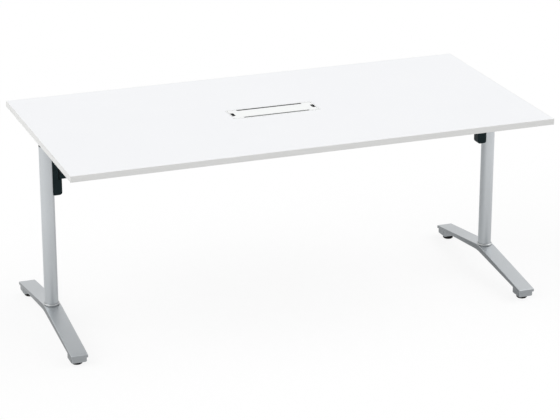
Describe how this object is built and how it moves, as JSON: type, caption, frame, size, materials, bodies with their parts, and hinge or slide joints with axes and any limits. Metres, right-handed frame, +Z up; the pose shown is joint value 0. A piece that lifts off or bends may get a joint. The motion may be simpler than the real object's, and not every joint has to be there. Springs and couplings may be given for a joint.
{
  "type": "flip top training table",
  "caption": "Long white table on silver T legs with arched feet, a black beam between the legs, a flush cable box and a top that tips up on latched hinges.",
  "frame": {"origin": "on the floor under the middle of the worktop", "axes": "+X along the worktop to the right of a person at its front edge, +Y from front to back, +Z up"},
  "size_m": [1.8, 0.9, 0.74],
  "materials": {
    "board": "raw chipboard core",
    "white_laminate": "fine satin texture",
    "edge_band": "satin",
    "white_plastic": "satin moulding",
    "silver_paint": "silver powder coat",
    "silver_casting": "die casting with a silver powder coat",
    "black_paint": "black powder coat",
    "black_plastic": "moulded, satin",
    "steel": "zinc plated",
    "bush_plastic": "plain nylon",
    "grip_rubber": "soft sleeve",
    "pad_rubber": "moulded foot"
  },
  "bodies": {
    "base": {"cross_beam": "black_paint", "left_foot": "silver_casting", "left_column": "silver_paint", "left_collar": "steel", "left_column_cap": "black_plastic", "left_column_plug": "steel", "left_draw_bolt": "steel", "left_beam_bracket": "black_paint", "left_lower_clamp_bolt": "steel", "left_upper_clamp_bolt": "steel", "left_hinge_pin": "steel", "left_latch_quadrant": "black_paint", "left_beam_plug": "black_plastic", "right_foot": "silver_casting", "right_column": "silver_paint", "right_collar": "steel", "right_column_cap": "black_plastic", "right_column_plug": "steel", "right_draw_bolt": "steel", "right_beam_bracket": "black_paint", "right_lower_clamp_bolt": "steel", "right_upper_clamp_bolt": "steel", "right_hinge_pin": "steel", "right_latch_quadrant": "black_paint", "right_beam_plug": "black_plastic"},
    "top": {"tabletop_core": "board", "worktop_laminate": "white_laminate", "backing_laminate": "white_laminate", "front_edge_band": "edge_band", "back_edge_band": "edge_band", "left_edge_band": "edge_band", "right_edge_band": "edge_band", "cable_frame": "white_plastic", "cable_tray": "black_paint", "front_rail": "silver_paint", "back_rail": "silver_paint", "left_hinge_arm": "black_paint", "left_hinge_bush": "bush_plastic", "left_rear_latch_guide": "black_paint", "left_front_latch_guide": "black_paint", "right_hinge_arm": "black_paint", "right_hinge_bush": "bush_plastic", "right_rear_latch_guide": "black_paint", "right_front_latch_guide": "black_paint"},
    "lid": {"cable_lid": "white_plastic"},
    "latch": {"release_bar": "steel", "release_grip": "grip_rubber", "left_latch_bolt": "steel", "right_latch_bolt": "steel"},
    "left_front_leveller": {"left_front_pad": "pad_rubber", "left_front_stem": "steel"},
    "left_back_leveller": {"left_back_pad": "pad_rubber", "left_back_stem": "steel"},
    "right_front_leveller": {"right_front_pad": "pad_rubber", "right_front_stem": "steel"},
    "right_back_leveller": {"right_back_pad": "pad_rubber", "right_back_stem": "steel"}
  },
  "joints": [
    {"name": "top_flip", "type": "hinge", "parent": "base", "child": "top", "pos_m": [0, 0.0135, 0.678], "axis": [-1, 0, 0], "range_deg": [0, 90]},
    {"name": "lid_lift", "type": "slide", "parent": "top", "child": "lid", "axis": [0, 0, 1], "range_m": [0, 0.12]},
    {"name": "latch_slide", "type": "slide", "parent": "top", "child": "latch", "axis": [0, 1, 0], "range_m": [0, 0.012]},
    {"name": "left_front_level", "type": "slide", "parent": "base", "child": "left_front_leveller", "axis": [0, 0, -1], "range_m": [0, 0.008]},
    {"name": "left_back_level", "type": "slide", "parent": "base", "child": "left_back_leveller", "axis": [0, 0, -1], "range_m": [0, 0.008]},
    {"name": "right_front_level", "type": "slide", "parent": "base", "child": "right_front_leveller", "axis": [0, 0, -1], "range_m": [0, 0.008]},
    {"name": "right_back_level", "type": "slide", "parent": "base", "child": "right_back_leveller", "axis": [0, 0, -1], "range_m": [0, 0.008]}
  ]
}
